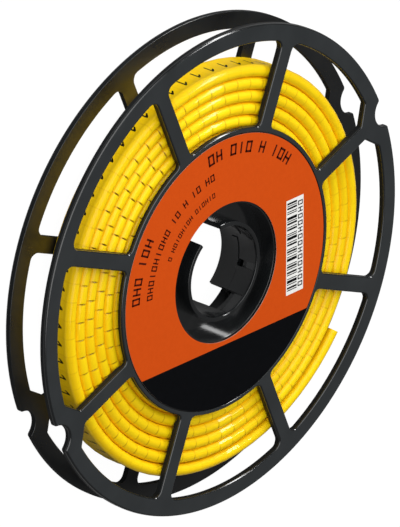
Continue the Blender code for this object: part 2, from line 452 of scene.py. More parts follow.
def finished_piece(
    name: str, bm: BMesh, materials: list[bpy.types.Material], sharp: float = 40.0
) -> bpy.types.Object:
    """Turns a bmesh into an object that is shaded smoothly across its facets.

    Args:
        name: Name of the object.
        bm: The mesh, which is freed.
        materials: Materials in the order of the faces' indices.
        sharp: Angle in degrees above which an edge stays crisp.

    Returns:
        The object, at the origin.
    """
    mesh = mesh_of(name, bm)
    for material in materials:
        mesh.materials.append(material)
    mesh.shade_smooth()
    mesh.set_sharp_from_angle(angle=math.radians(sharp))
    piece = bpy.data.objects.new(name, mesh)
    bpy.context.scene.collection.objects.link(piece)
    weighted = piece.modifiers.new("even_shading", "WEIGHTED_NORMAL")
    weighted.keep_sharp = True
    return piece


def spin_upright(
    bm: BMesh,
    geom: list,
    degrees: float,
    steps: int,
    centre: Vector | tuple[float, float] = (0.0, 0.0),
    merge: bool = False,
) -> dict:
    """Spins geometry round an upright axis.

    Args:
        bm: Mesh that holds the geometry.
        geom: Vertices, edges or faces that are spun.
        degrees: Angle of the spin, counter-clockwise where it is positive.
        steps: Number of steps along it.
        centre: Where the axis stands.
        merge: Whether the last step is merged with the first.

    Returns:
        What the operator made.
    """
    return bmesh.ops.spin(
        bm, geom=geom, cent=(*centre, 0.0), axis=(0, 0, 1), dvec=(0, 0, 0),
        angle=math.radians(degrees), steps=steps, use_merge=merge,
        use_normal_flip=False, use_duplicate=False,
    )


class Pen:
    """Draws an outline in the XY plane by moving on from its last vertex."""

    def __init__(self, bm: BMesh, start: Vector) -> None:
        """Sets the first vertex of the outline.

        Args:
            bm: Mesh that takes the outline.
            start: Where the outline begins.
        """
        self.bm = bm
        self.first = self.tip = bm.verts.new((*start, 0.0))

    def line(self, end: Vector) -> None:
        """Runs straight to a point."""
        made = bmesh.ops.extrude_vert_indiv(self.bm, verts=[self.tip])
        self.tip = made["verts"][0]
        self.tip.co = (*end, 0.0)

    def arc(self, centre: Vector, degrees: float, steps: int) -> None:
        """Runs along an arc, counter-clockwise where the angle is positive.

        Args:
            centre: Centre of the arc.
            degrees: Angle that the arc turns through.
            steps: Number of edges along it.
        """
        made = spin_upright(self.bm, [self.tip], degrees, steps, centre)
        self.tip = next(item for item in made["geom_last"] if isinstance(item, BMVert))

    def corner(self, point: Vector, onwards: Vector, radius: float, steps: int) -> None:
        """Runs to a corner and round it, to where the next straight run begins.

        Args:
            point: The sharp corner that is rounded.
            onwards: A point on the run after the corner.
            radius: Radius of the rounding.
            steps: Number of edges along it.
        """
        back = (self.tip.co.xy - point).normalized()
        ahead = (onwards - point).normalized()
        half = back.angle(ahead) / 2
        centre = point + (back + ahead).normalized() * (radius / math.sin(half))
        start = point + back * (radius / math.tan(half))
        self.line(start)
        left = back.x * ahead.y - back.y * ahead.x < 0
        self.arc(centre, (180 - math.degrees(2 * half)) * (1 if left else -1), steps)

    def close(self) -> BMFace:
        """Joins the last vertex to the first and fills the outline.

        Returns:
            The face inside the outline.
        """
        self.bm.edges.new((self.tip, self.first))
        wires = [edge for edge in self.bm.edges if edge.is_wire]
        return bmesh.ops.edgeloop_fill(self.bm, edges=wires)["faces"][0]


class Side(Enum):
    """The two halves of the reel, by the names of their solids."""

    BACK = "back_half"
    FRONT = "front_half"


@dataclass
class ReelHalf:
    """One spoked moulding: rim, spokes, disc, drum, well and collar.

    It is built with its outer face at height 0 and its notches on X.
    """

    side: Side
    rim_radius: float = 70.0 * MM
    ring_inner: float = 65.0 * MM
    thickness: float = 1.9 * MM
    disc_radius: float = 41.1 * MM
    disc_thickness: float = 1.3 * MM
    ramp_start: float = 42.55 * MM
    ramp_end: float = 43.7 * MM
    seat_radius: float = 39.8 * MM
    seat_depth: float = 0.5 * MM
    spoke_half: float = 2.35 * MM
    outer_fillet: float = 2.2 * MM
    inner_fillet: float = 1.6 * MM
    notch_depth: float = 3.5 * MM
    notch_half: float = 4.6 * MM
    notch_ease: float = 0.9 * MM
    brace_reach: float = 5.6 * MM
    brace_drop: float = 4.3 * MM
    brace_fillet: float = 0.8 * MM
    brace_lead: float = 1.0
    rim_rounding: float = 0.7 * MM
    rim_ease: float = 0.2 * MM
    window_break: float = 0.6 * MM
    drum_radius: float = 21.0 * MM
    well_radius: float = 19.6 * MM
    well_depth: float = 5.3 * MM
    well_floor: float = 1.2 * MM
    collar_bore: float = 13.1 * MM
    collar_radius: float = 14.3 * MM
    collar_top: float = 0.8 * MM
    collar_band: float = 1.8 * MM
    bead_start: float = 5.55 * MM
    bead_height: float = 0.25 * MM
    joint_height: float = 7.47 * MM
    hub_break: float = 0.15 * MM
    sharp_from: float = 55.0
    sectors: int = 8
    sector_half: float = 22.5
    keyway: tuple[float, float] = (-106.5, -73.5)
    slots: tuple[tuple[float, float], ...] = ((73.5, 106.5), (33.0, 42.0), (138.0, 147.0))
    beads: tuple[tuple[float, float], ...] = ((-46.5, -4.5), (-175.5, -133.5))
    inner_from: float = 0.5
    wall_from: float = -0.1
    outer_below: float = -0.9

    def plain_rim(self, bm: BMesh) -> Pen:
        """Draws the rim of half a sector, from the spoke's middle line.

        Args:
            bm: Mesh that takes the outline.

        Returns:
            The pen, at the end of the rim.
        """
        pen = Pen(bm, Vector((self.rim_radius, 0.0)))
        pen.arc(AXIS, self.sector_half, steps=15)
        return pen

    def notched_rim(self, bm: BMesh) -> Pen:
        """Draws the rim of half a sector that begins in a notch.

        Args:
            bm: Mesh that takes the outline.

        Returns:
            The pen, at the end of the rim.
        """
        bowl = (self.notch_half**2 + self.notch_depth**2) / (2 * self.notch_depth)
        bottom = self.rim_radius - self.notch_depth
        centre = bottom + bowl
        ease_from_axis = self.rim_radius - self.notch_ease
        ease_from_bowl = bowl + self.notch_ease
        x = (ease_from_axis**2 - ease_from_bowl**2 + centre**2) / (2 * centre)
        ease = Vector((x, math.sqrt(ease_from_axis**2 - x**2)))
        bowl_end = math.degrees(math.atan2(ease.y, ease.x - centre))
        rim_start = angle_of(ease)
        pen = Pen(bm, Vector((bottom, 0.0)))
        pen.arc(Vector((centre, 0.0)), bowl_end - 180, steps=8)
        pen.arc(ease, rim_start + 180 - bowl_end, steps=5)
        pen.arc(AXIS, self.sector_half - rim_start, steps=12)
        return pen

    def half_sector(self, bm: BMesh, notched: bool) -> BMFace:
        """Draws and fills half a sector, from its spoke to the next window.

        Args:
            bm: Mesh that takes the face.
            notched: Whether the spoke ends in a notch with braces.

        Returns:
            The filled face.
        """
        pen = self.notched_rim(bm) if notched else self.plain_rim(bm)
        pen.line(polar(self.ring_inner, self.sector_half))
        if notched:
            head = beside(self.ring_inner, self.spoke_half + self.brace_reach)
            foot = beside(self.ring_inner - self.brace_drop, self.spoke_half)
            pen.arc(AXIS, angle_of(head) + self.brace_lead - self.sector_half, steps=10)
            pen.corner(head, foot, self.brace_fillet, steps=4)
            pen.corner(foot, Vector((0.0, self.spoke_half)), self.brace_fillet, steps=4)
        else:
            fillet = self.outer_fillet
            centre = beside(self.ring_inner - fillet, self.spoke_half + fillet)
            pen.arc(AXIS, angle_of(centre) - self.sector_half, steps=12)
            pen.arc(centre, -90 - angle_of(centre), steps=6)
        fillet = self.inner_fillet
        centre = beside(self.disc_radius + fillet, self.spoke_half + fillet)
        pen.line(Vector((centre.x, self.spoke_half)))
        pen.arc(centre, angle_of(centre) - 90, steps=6)
        pen.arc(AXIS, self.sector_half - angle_of(centre), steps=11)
        pen.line(polar(self.seat_radius, self.sector_half))
        pen.arc(AXIS, -self.sector_half, steps=15)
        return pen.close()

    def sector(self, notched: bool) -> BMesh:
        """Makes a flat sector with the lines where the spoke gets thinner.

        Args:
            notched: Whether the spoke ends in a notch with braces.

        Returns:
            A mesh of one sector, its spoke along X.
        """
        bm = bmesh.new()
        self.half_sector(bm, notched)
        for place in (self.ramp_start, self.ramp_end):
            bmesh.ops.bisect_plane(
                bm, geom=everything(bm), dist=WELD,
                plane_co=(place, 0, 0), plane_no=(1, 0, 0),
            )
        bmesh.ops.mirror(
            bm, geom=everything(bm), matrix=Matrix(),
            merge_dist=WELD, axis="Y",
        )
        return bm

    def flat_plan(self) -> BMesh:
        """Lays the eight sectors round the axis.

        Returns:
            A flat mesh of the whole flange.
        """
        plan = bmesh.new()
        for index in range(self.sectors):
            piece = self.sector(notched=index % 4 == 0)
            turn = Matrix.Rotation(math.radians(2 * self.sector_half * index), 4, "Z")
            bmesh.ops.transform(piece, matrix=turn, verts=piece.verts)
            mesh = mesh_of("sector", piece)
            plan.from_mesh(mesh)
            bpy.data.meshes.remove(mesh)
        bmesh.ops.remove_doubles(plan, verts=plan.verts, dist=WELD)
        return plan

    def thicken(self, bm: BMesh) -> None:
        """Gives the flat plan its thickness and thins it towards the disc.

        Args:
            bm: The flat plan.
        """
        made = bmesh.ops.extrude_face_region(bm, geom=list(bm.faces))
        raised = [item for item in made["geom"] if isinstance(item, BMVert)]
        bmesh.ops.translate(bm, vec=(0, 0, self.thickness), verts=raised)
        thin = [v for v in raised if radius_of(v.co) < (self.ramp_start + self.ramp_end) / 2]
        bmesh.ops.translate(bm, vec=(0, 0, self.disc_thickness - self.thickness), verts=thin)
        seat_wall = [
            face
            for face in bm.faces
            if all(abs(radius_of(v.co) - self.seat_radius) < WELD for v in face.verts)
        ]
        bmesh.ops.delete(bm, geom=seat_wall, context="FACES_ONLY")

    def add_hub(self, bm: BMesh) -> None:
        """Spins the label's seat, the well, the collar and the drum.

        Args:
            bm: The flange, which is open along the edge of the seat.
        """
        floor_back = self.well_depth + self.well_floor
        profile = [
            (self.seat_radius, 0.0),
            (self.seat_radius, self.seat_depth),
            (self.well_radius, self.seat_depth),
            (self.well_radius, self.well_depth),
            (self.collar_radius, self.well_depth),
            (self.collar_radius, self.collar_band),
            (self.collar_radius, self.collar_top),
            (self.collar_bore, self.collar_top),
            (self.collar_bore, self.collar_band),
            (self.collar_bore, self.bead_start),
            (self.collar_bore, self.joint_height),
            (self.collar_radius, self.joint_height),
            (self.collar_radius, floor_back),
            (self.well_radius, floor_back),
            (self.well_radius, self.joint_height),
            (self.drum_radius, self.joint_height),
            (self.drum_radius, self.disc_thickness),
            (self.seat_radius, self.disc_thickness),
        ]
        corners = [bm.verts.new((radius, 0.0, height)) for radius, height in profile]
        edges = [bm.edges.new(pair) for pair in zip(corners, corners[1:])]
        spin_upright(bm, corners + edges, FULL_TURN, ROUND_STEPS, merge=True)
        bmesh.ops.remove_doubles(bm, verts=bm.verts, dist=WELD)

    def between(
        self, bm: BMesh, span: tuple[float, float], reach: float, low: float
    ) -> list[BMFace]:
        """Finds the hub's faces in a sector, inside a radius and below a level.

        Args:
            bm: The moulding.
            span: First and last angle in degrees.
            reach: Radius that the faces stay inside.
            low: Depth under the outer face that they stay below.

        Returns:
            The faces.
        """
        start, end = span
        half = math.radians((end - start) / 2)
        towards = polar(1.0, (start + end) / 2)
        found = []
        for face in bm.faces:
            place = face.calc_center_median()
            inside = radius_of(place) < reach and place.z > low
            if inside and abs(place.xy.angle(towards)) < half:
                found.append(face)
        return found

    def arc_edges(self, bm: BMesh, radius: float, depth: float) -> list[BMEdge]:
        """Returns the open edges that lie on a circle at a radius and a depth."""
        return [
            edge
            for edge in bm.edges
            if edge.is_boundary
            and all(
                abs(radius_of(v.co) - radius) < WELD and abs(v.co.z - depth) < WELD
                for v in edge.verts
            )
        ]

    def open_slot(self, bm: BMesh, span: tuple[float, float], through: bool) -> None:
        """Cuts a keyway or a slit and closes its walls.

        Args:
            bm: The moulding.
            span: First and last angle in degrees.
            through: Whether the cut takes the collar's band and the floor too.
        """
        reach = self.well_radius - REACH if through else self.collar_radius + REACH
        low = 0.0 if through else self.collar_band
        bmesh.ops.delete(bm, geom=self.between(bm, span, reach, low), context="FACES")
        edge_radius = self.well_radius if through else self.collar_radius
        rims = [(edge_radius, self.well_depth), (edge_radius, self.well_depth + self.well_floor)]
        walls = [rims]
        if not through:
            walls.append([(side, self.collar_band) for side in (edge_radius, self.collar_bore)])
        for pair in walls:
            edges = [edge for radius, depth in pair for edge in self.arc_edges(bm, radius, depth)]
            bmesh.ops.bridge_loops(bm, edges=edges)
        open_edges = [edge for edge in bm.edges if edge.is_boundary]
        bmesh.ops.holes_fill(bm, edges=open_edges, sides=0)

    def raise_bead(self, bm: BMesh, span: tuple[float, float]) -> None:
        """Raises a low bead inside the collar, next to the joint.

        Args:
            bm: The moulding.
            span: First and last angle in degrees.
        """
        faces = self.between(bm, span, self.collar_bore + REACH, self.bead_start)
        made = bmesh.ops.extrude_face_region(bm, geom=faces)
        raised = [item for item in made["geom"] if isinstance(item, BMVert)]
        share = 1 - self.bead_height / self.collar_bore
        bmesh.ops.scale(bm, vec=(share, share, 1.0), verts=raised)

    def ease_edges(self, bm: BMesh) -> None:
        """Rounds the rim and breaks the edges of windows, seat and hub.

        Args:
            bm: The moulding.
        """
        groups: dict[float, list[BMEdge]] = {}
        for edge in bm.edges:
            if len(edge.link_faces) != 2 or edge.calc_face_angle() < math.radians(self.sharp_from):
                continue
            size = self.edge_break(edge)
            if size:
                groups.setdefault(size, []).append(edge)
        for size, edges in sorted(groups.items(), reverse=True):
            bmesh.ops.bevel(
                bm, geom=[edge for edge in edges if edge.is_valid], offset=size,
                offset_type="OFFSET", segments=5 if size > self.rim_ease else 3,
                profile=0.5, affect="EDGES", clamp_overlap=True, material=-1,
            )

    def edge_break(self, edge: BMEdge) -> float:
        """Finds how far a sharp edge is rounded.

        Args:
            edge: An edge of the moulding.

        Returns:
            The rounding, or 0 where the edge stays as it is.
        """
        first, second = (vertex.co for vertex in edge.verts)
        outer = max(first.z, second.z) < WELD
        radius = min(radius_of(first), radius_of(second))
        if radius > self.seat_radius + WELD:
            if outer:
                return self.rim_rounding if radius > self.ring_inner + WELD else self.window_break
            level = abs(first.z - second.z) < WELD
            inner_face = level and first.z > self.disc_thickness - WELD
            return self.rim_ease if inner_face and radius > self.ring_inner - MM else 0.0
        if radius > self.seat_radius - WELD:
            return self.hub_break if outer else 0.0
        shown = max(first.z, second.z) < self.collar_band + WELD
        return self.hub_break if shown and radius < self.drum_radius else 0.0

    def surface(self, face: BMFace) -> Surface:
        """Finds which of the moulding's surfaces a face belongs to.

        Args:
            face: A face of the moulding, before it is turned over.

        Returns:
            The surface.
        """
        radius = radius_of(face.calc_center_median())
        if radius < self.seat_radius:
            return Surface.HUB
        if face.normal.z > self.inner_from:
            return Surface.INNER
        if face.normal.z < self.outer_below:
            return Surface.OUTER
        return Surface.WALL if face.normal.z > self.wall_from else Surface.EDGE

    def build(self) -> BMesh:
        """Builds the moulding in its place.

        Returns:
            The mesh of the moulding.
        """
        bm = self.flat_plan()
        self.thicken(bm)
        self.add_hub(bm)
        self.open_slot(bm, self.keyway, through=True)
        for span in self.slots:
            self.open_slot(bm, span, through=False)
        for span in self.beads:
            self.raise_bead(bm, span)
        bmesh.ops.recalc_face_normals(bm, faces=bm.faces)
        self.ease_edges(bm)
        # Each face takes its surface's material; all but the outer faces' paint shade with a darker
        # base
        for face in bm.faces:
            face.material_index = list(Surface).index(self.surface(face))
        if self.side is Side.FRONT:
            turn = Matrix.Translation((0, 0, REEL_WIDTH)) @ Matrix.Rotation(math.pi, 4, "X")
            bmesh.ops.transform(bm, matrix=turn, verts=bm.verts)
        return bm

    def dress(self, finishes_and_shades: list[bpy.types.Material]) -> bpy.types.Object:
        """Makes the finished piece and puts it in the place of its solid.

        Args:
            finishes_and_shades: The materials, in the order of the surfaces, with painted
                shade in all but the first.

        Returns:
            The piece.
        """
        piece = finished_piece(self.side.value + "_moulding", self.build(), finishes_and_shades)
        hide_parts(self.side.value)
        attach(piece, "root")
        return piece


@dataclass
class MarkerStrip:
    """The strip of markers, wound from the drum outwards.

    A marker is a flattened sleeve with a roll along either side and a panel
    between them for its figure. The strip is first made straight, marker by
    marker along X with its outer side towards Y, and is then wound up.
    """

    width: float = 10.3 * MM
    pitch: float = 3.53 * MM
    roll_width: float = 1.7 * MM
    panel_drop: float = 0.32 * MM
    marker_length: float = 5.15 * MM
    cut_half: float = 0.32 * MM
    cut_depth: float = 0.05 * MM
    slit_depth: float = 0.5 * MM
    slit_inner: float = -8.0
    slit_outer: float = 50.0
    shown_turns: int = 6
    all_turns: int = 10
    inner_radius: float = 21.3 * MM
    free_end: float = 301.3
    free_end_lift: float = 1.5 * MM
    lift_share: float = 0.3
    figure_height: float = 3.7 * MM
    figure_stroke: float = 0.48 * MM
    flag_reach: float = 1.2 * MM
    flag_top: float = 1.08 * MM
    flag_bottom: float = 1.68 * MM
    flag_root: float = 0.96 * MM
    figure_middle: float = 0.2 * MM
    figure_proud: float = 0.02 * MM
    gapes: tuple[tuple[float, float], ...] = (
        (0, 0.03), (45, 0.2), (75, 0.35), (100, 0.85), (125, 1.0), (160, 0.8),
        (200, 0.35), (250, 0.3), (290, 0.25), (325, 0.3), (350, 0.06), (360, 0.03),
    )
    gape_spread: float = 0.5
    last_turn_gape: float = 0.1
    # Painted groove shade: its share on the outer half of the outermost turn, and where it starts
    # on each roll
    last_turn_shade: float = 0.45
    groove_shade_start: float = 0.55
    joint_share: float = 0.65
    layer_names: tuple[str, ...] = ("groove_shade", "joint", "slit", "tone")
    core_gap: float = 0.001

    def __post_init__(self) -> None:
        """Works out the strip's radius at the free end and its markers."""
        self.end_radius = self.inner_radius + self.all_turns * self.pitch
        middle = self.end_radius + self.pitch / 2
        length = math.tau * (middle * self.shown_turns - self.pitch * self.shown_turns**2 / 2)
        self.markers = int(length / self.marker_length)

    def turn_share(self, along: float) -> float:
        """Finds how many turns a place on the strip is from its free end.

        Args:
            along: Length of strip from the free end.

        Returns:
            The number of turns.
        """
        middle = self.end_radius + self.pitch / 2
        return (middle - math.sqrt(middle**2 - self.pitch * along / math.pi)) / self.pitch

    def wound(self, along: float, height: float, across: float) -> Vector:
        """Turns a place on the straight strip into its place on the reel.

        Args:
            along: Length of strip from the free end.
            height: Height over the strip's inner side.
            across: Height over the reel's middle.

        Returns:
            The place in the reel's frame.
        """
        share = self.turn_share(along)
        lift = self.free_end_lift * max(0.0, 1.0 - share / self.lift_share) ** 2
        radius = self.end_radius - self.pitch * share + lift + height
        place = polar(radius, self.free_end - FULL_TURN * share)
        return Vector((*place, MIDDLE + across))

    def cut_opening(self, along: float) -> float:
        """Finds how far a cut gapes, from how the strip lies there.

        The outermost turn's cuts stay nearly shut, and the others gape most on one
        side of the reel, from about 100° to 160°; the gape sets how deep and dark a cut is.

        Args:
            along: Length of strip from the free end.

        Returns:
            The share of the full gape.
        """
        share = self.turn_share(along)
        angle = (self.free_end - FULL_TURN * share) % FULL_TURN
        for (low, first), (high, second) in zip(self.gapes, self.gapes[1:]):
            if low <= angle <= high:
                gape = first + (second - first) * ((angle - low) / (high - low))
        return gape * (self.last_turn_gape if share < 1.0 else 1.0)

    def section(self, bm: BMesh) -> list[BMEdge]:
        """Draws the section of a marker: two rolls and a panel between them.

        Args:
            bm: Mesh that takes the outline.

        Returns:
            The edges of the outline, in the YZ plane.
        """
        half_pitch = self.pitch / 2
        drop = math.degrees(math.acos(1 - self.panel_drop / half_pitch))
        across = self.width / 2 - self.roll_width
        squash = self.roll_width / half_pitch
        centre = Vector((half_pitch, across / squash))
        pen = Pen(bm, centre + polar(half_pitch, -drop))
        pen.arc(centre, 180 + 2 * drop, steps=10)
        pen.line(Vector((pen.tip.co.x, -pen.tip.co.y)))
        pen.arc(Vector((half_pitch, -across / squash)), 180 + 2 * drop, steps=10)
        bm.edges.new((pen.tip, pen.first))
        bmesh.ops.scale(bm, verts=bm.verts, vec=(1.0, squash, 1.0))
        stand = Matrix(((0, 0, 1), (1, 0, 0), (0, 1, 0)))
        bmesh.ops.transform(bm, verts=bm.verts, matrix=stand.to_4x4())
        return list(bm.edges)

    def one_marker(self) -> BMesh:
        """Makes a marker with a cut at its far end.

        Returns:
            An open tube along X, whose attributes say where its cut is.
        """
        bm = bmesh.new()
        layers = {name: bm.verts.layers.float.new(name) for name in self.layer_names}
        ring = self.section(bm)
        bmesh.ops.translate(bm, verts=bm.verts, vec=(self.cut_half, 0.0, 0.0))
        rings: list[list[BMVert]] = []
        for step in (self.marker_length - 2 * self.cut_half, self.cut_half, self.cut_half):
            made = bmesh.ops.extrude_edge_only(bm, edges=ring)["geom"]
            moved = [item for item in made if isinstance(item, BMVert)]
            bmesh.ops.translate(bm, verts=moved, vec=(step, 0.0, 0.0))
            ring = [item for item in made if isinstance(item, BMEdge)]
            ring = [edge for edge in ring if all(vertex in moved for vertex in edge.verts)]
            rings.append(moved)
        roll_middle = self.width / 2 - self.roll_width
        # Painted shade: the groove layer darkens each marker towards its inner and outer sides,
        # where the next turns meet it
        for vertex in bm.verts:
            rise = abs(vertex.co.y - self.pitch / 2) / (self.pitch / 2)
            deep = max(0.0, rise - self.groove_shade_start)
            vertex[layers["groove_shade"]] = deep / (1.0 - self.groove_shade_start)
        # The cut is at the middle one of the three rings
        for vertex in rings[1]:
            out = abs(vertex.co.z) - roll_middle
            turn = math.degrees(math.atan2(vertex.co.y - self.pitch / 2, out))
            vertex[layers["joint"]] = 1.0
            vertex[layers["slit"]] = float(self.slit_inner < turn < self.slit_outer)
        return bm

    def straight_strip(self) -> BMesh:
        """Sets the markers one after another.

        Returns:
            The straight strip, closed at both ends.
        """
        bm = self.one_marker()
        bmesh.ops.spin(
            bm, geom=everything(bm), cent=(0, 0, 0), axis=(0, 0, 1),
            dvec=(self.marker_length, 0, 0), angle=0.0, steps=self.markers - 1,
            use_merge=False, use_normal_flip=False, use_duplicate=True,
        )
        bmesh.ops.remove_doubles(bm, verts=bm.verts, dist=WELD)
        open_edges = [edge for edge in bm.edges if edge.is_boundary]
        bmesh.ops.holes_fill(bm, edges=open_edges, sides=0)
        return bm

    def open_cuts(self, bm: BMesh) -> None:
        """Gives each marker its tone and opens the cuts between them.

        Args:
            bm: The straight strip.
        """
        chance = random.Random(7)
        tones = [chance.random() for _ in range(self.markers + 2)]
        least = 1.0 - self.gape_spread / 2
        luck = [least + self.gape_spread * chance.random() for _ in range(self.markers + 2)]
        floats = bm.verts.layers.float
        groove_shade, joint, slit, tone = (floats[name] for name in self.layer_names)
        for vertex in bm.verts:
            index = int(vertex.co.x / self.marker_length)
            vertex[tone] = tones[index]
            # Painted shade: the outer half of the outermost turn takes part of the groove's orange
            # shade
            if self.turn_share(vertex.co.x) < 1.0 and vertex.co.y > self.pitch / 2:
                vertex[groove_shade] = self.last_turn_shade
            if vertex[joint]:
                gape = min(1.0, self.cut_opening(vertex.co.x) * luck[index])
                vertex[joint] = self.joint_share * math.sqrt(gape)
                vertex[slit] *= gape
                roll = math.copysign(self.width / 2 - self.roll_width, vertex.co.z)
                inwards = Vector((0.0, self.pitch / 2 - vertex.co.y, roll - vertex.co.z))
                depth = self.cut_depth * vertex[joint] + self.slit_depth * vertex[slit]
                vertex.co += inwards.normalized() * depth

    def build_strip(self) -> BMesh:
        """Winds the strip up.

        Returns:
            The wound strip.
        """
        bm = self.straight_strip()
        self.open_cuts(bm)
        for vertex in bm.verts:
            vertex.co = self.wound(*vertex.co)
        bmesh.ops.recalc_face_normals(bm, faces=bm.faces)
        return bm

    def build_core(self) -> BMesh:
        """Makes the turns that the disc hides, as one spiral body.

        Returns:
            The body from the drum to the innermost turn that shows.
        """
        bm = bmesh.new()
        outer = self.end_radius - (self.shown_turns - 1) * self.pitch
        edge = self.width / 2 - self.roll_width / 3
        inner = self.inner_radius
        corners = [(inner, edge), (outer, edge), (outer, -edge), (inner, -edge)]
        loop = [bm.verts.new((radius, 0.0, MIDDLE + height)) for radius, height in corners]
        section = bm.faces.new(loop)
        start = Matrix.Rotation(math.radians(self.free_end), 3, "Z")
        bmesh.ops.rotate(bm, verts=bm.verts, matrix=start)
        spin_upright(bm, [section], math.degrees(self.core_gap) - FULL_TURN, ROUND_STEPS)
        for vertex in bm.verts:
            radius = radius_of(vertex.co)
            if radius > outer - MM:
                turn = math.radians(self.free_end) - math.atan2(vertex.co.y, vertex.co.x)
                share = (turn % math.tau) / math.tau
                wanted = outer - self.pitch * share
                vertex.co.xy *= wanted / radius
        bmesh.ops.recalc_face_normals(bm, faces=bm.faces)
        return bm

    def figure_mesh(self) -> bpy.types.Mesh:
        """Makes the figure 1, upright in the XY plane and centred.

        Returns:
            A flat mesh.
        """
        foot, stroke = self.figure_height / 2, self.figure_stroke / 2
        bm = bmesh.new()
        outline = [
            (-stroke, -foot),
            (stroke, -foot),
            (stroke, foot),
            (-stroke, foot),
            (-self.flag_reach, foot - self.flag_top),
            (-self.flag_reach, foot - self.flag_bottom),
            (-stroke, foot - self.flag_root),
        ]
        bm.faces.new([bm.verts.new((x, y, 0.0)) for x, y in outline])
        return mesh_of("figure", bm)

    def build_figures(self) -> BMesh:
        """Prints the figure on every marker of the outermost turn.

        Returns:
            All the figures, just over the markers' panels.
        """
        bm = bmesh.new()
        mesh = self.figure_mesh()
        up = Vector((0.0, 0.0, 1.0))
        panel = self.pitch - self.panel_drop
        index = 0
        while self.turn_share((index + 1) * self.marker_length) < 1.0:
            ends = (index * self.marker_length, (index + 1) * self.marker_length)
            near, far = (self.wound(place, panel, self.figure_middle) for place in ends)
            outwards = Vector((*((near + far) / 2).xy, 0.0)).normalized()
            place = (near + far) / 2 + outwards * self.figure_proud
            turn = Matrix((up.cross(outwards), up, outwards)).transposed().to_4x4()
            moved = mesh.copy()
            moved.transform(Matrix.Translation(place) @ turn)
            bm.from_mesh(moved)
            bpy.data.meshes.remove(moved)
            index += 1
        bpy.data.meshes.remove(mesh)
        return bm

    def dress(self, vinyl: bpy.types.Material, ink: bpy.types.Material) -> list[bpy.types.Object]:
        """Makes the finished pieces and puts them in the place of the solid.

        Args:
            vinyl: The markers' material.
            ink: The material of their figures.

        Returns:
            The strip, the buried turns and the figures.
        """
        made = [
            finished_piece("marker_strip_wound", self.build_strip(), [vinyl], 60.0),
            finished_piece("buried_marker_turns", self.build_core(), [vinyl]),
            finished_piece("marker_figures", self.build_figures(), [ink]),
        ]
        for piece in made:
            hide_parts("marker_strip")
            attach(piece, "root")
        return made


